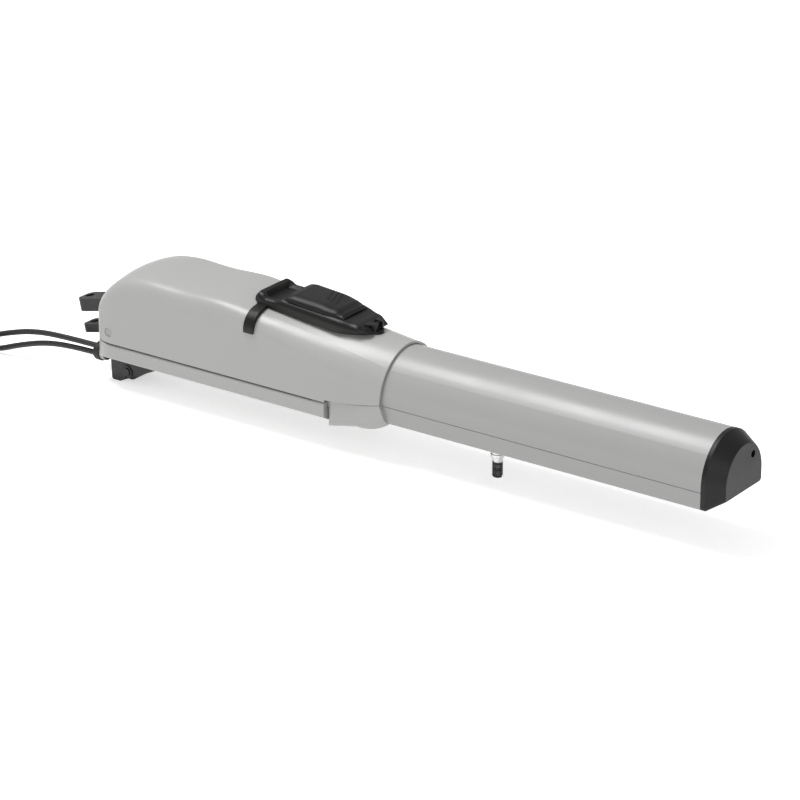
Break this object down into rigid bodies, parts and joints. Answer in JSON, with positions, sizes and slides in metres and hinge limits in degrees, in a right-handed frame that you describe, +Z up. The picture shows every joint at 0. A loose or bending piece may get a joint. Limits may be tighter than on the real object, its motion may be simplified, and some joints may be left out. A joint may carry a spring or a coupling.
{
  "type": "linear swing gate operator",
  "caption": "Electromechanical swing gate operator: motor housing, long screw arm with sliding stud, manual release hatch and tail fork.",
  "frame": {"origin": "middle of the tail fork's bore, between its two ears", "axes": "+X along the arm from tail to end cap, +Z up, near side of the picture at -Y"},
  "size_m": [1.1516, 0.1782, 0.1581],
  "materials": {
    "casing_paint": "satin light warm grey paint on the castings",
    "arm_paint": "satin grey paint on the extrusion, slightly cooler",
    "black_plastic": "fine grained black moulding",
    "black_casting": "black coated casting, slightly rough",
    "black_rubber": "matt black rubber",
    "lead_rubber": "smooth matt black cable sheath",
    "cast_aluminium": "raw die-cast aluminium",
    "bearing_steel": "ground steel",
    "motor_steel": "dark coated sheet steel",
    "winding_copper": "enamelled winding in a dark laminated ring",
    "gear_bronze": "bronze",
    "zinc_fastener": "bright zinc plated steel",
    "dark_fastener": "blackened steel",
    "white_nylon": "natural nylon",
    "lock_chrome": "plated lock face"
  },
  "bodies": {
    "casing": {"upper_cover": "casing_paint", "base_housing": "casing_paint", "front_clamp": "casing_paint", "arm_profile": "arm_paint", "cover_gasket": "black_rubber", "cover_screws": "dark_fastener", "clamp_screws": "zinc_fastener", "end_cap": "black_plastic", "end_cap_screws": "dark_fastener", "gear_frame": "cast_aluminium", "rotor_bearing_front": "bearing_steel", "rotor_bearing_rear": "bearing_steel", "screw_bearing_rear": "bearing_steel", "screw_thrust_bearing": "bearing_steel", "motor_can": "motor_steel", "motor_stator": "winding_copper", "motor_end_bell": "cast_aluminium", "fork_rod": "bearing_steel", "end_bearing_block": "cast_aluminium", "screw_end_bush": "gear_bronze", "closing_stop": "zinc_fastener", "opening_stop": "zinc_fastener", "tail_yoke": "black_casting", "yoke_screws": "zinc_fastener", "fork_pin": "black_casting", "pin_clips": "black_casting", "terminal_block": "white_nylon", "hatch_frame": "black_plastic", "lever_pin": "bearing_steel", "cable_gland": "black_rubber", "cable_upper": "lead_rubber", "cable_lower": "lead_rubber", "coil_upper": "lead_rubber", "coil_lower": "lead_rubber", "coil_ties": "black_plastic"},
    "tail_fork": {"tail_fork": "black_casting"},
    "rotor": {"rotor_shaft": "bearing_steel", "drive_pinion": "bearing_steel"},
    "screw": {"lead_screw": "bearing_steel", "drive_gear": "gear_bronze"},
    "collar": {"clutch_collar": "bearing_steel"},
    "clutch_fork": {"clutch_fork": "motor_steel", "release_link": "motor_steel"},
    "carriage": {"carriage_block": "cast_aluminium", "carriage_nut": "gear_bronze", "slide_pads": "white_nylon", "carriage_stud": "zinc_fastener"},
    "release_lever": {"release_lever": "black_plastic"},
    "key_cover": {"key_cover": "black_plastic"},
    "lock": {"lock_cylinder": "lock_chrome"}
  },
  "joints": [
    {"name": "fork_pitch", "type": "hinge", "parent": "casing", "child": "tail_fork", "pos_m": [0.064, 0, -0.052], "axis": [0, 1, 0], "range_deg": [0, 12.5]},
    {"name": "rotor_turn", "type": "hinge", "parent": "casing", "child": "rotor", "pos_m": [0.177, 0, 0.0375], "axis": [1, 0, 0], "range_deg": [-21600, 73440]},
    {"name": "screw_turn", "type": "hinge", "parent": "casing", "child": "screw", "pos_m": [0.537, 0, 0.006], "axis": [1, 0, 0], "range_deg": [-18360, 5400]},
    {"name": "carriage_slide", "type": "slide", "parent": "casing", "child": "carriage", "axis": [1, 0, 0], "range_m": [-0.06, 0.204]},
    {"name": "lever_lift", "type": "hinge", "parent": "casing", "child": "release_lever", "pos_m": [0.39811, 0, 0.07412], "axis": [0, 1, 0], "range_deg": [0, 60]},
    {"name": "clutch_fork_slide", "type": "slide", "parent": "casing", "child": "clutch_fork", "axis": [1, 0, 0], "range_m": [-0.005, 0]},
    {"name": "collar_slide", "type": "slide", "parent": "screw", "child": "collar", "axis": [1, 0, 0], "range_m": [-0.005, 0]},
    {"name": "key_cover_slide", "type": "slide", "parent": "release_lever", "child": "key_cover", "axis": [0.9963, 0, -0.0864], "range_m": [0, 0.022]},
    {"name": "lock_turn", "type": "hinge", "parent": "release_lever", "child": "lock", "pos_m": [0.29932, 0, 0.08088], "axis": [0.0864, 0, 0.9963], "range_deg": [0, 90]}
  ],
  "couplings": [
    {"joint": "screw_turn", "follows": "rotor_turn", "ratio": -0.25},
    {"joint": "carriage_slide", "follows": "rotor_turn", "m_per_rad": 0.00015915},
    {"joint": "clutch_fork_slide", "follows": "lever_lift", "m_per_rad": -0.0047747},
    {"joint": "collar_slide", "follows": "lever_lift", "m_per_rad": -0.0047747}
  ]
}
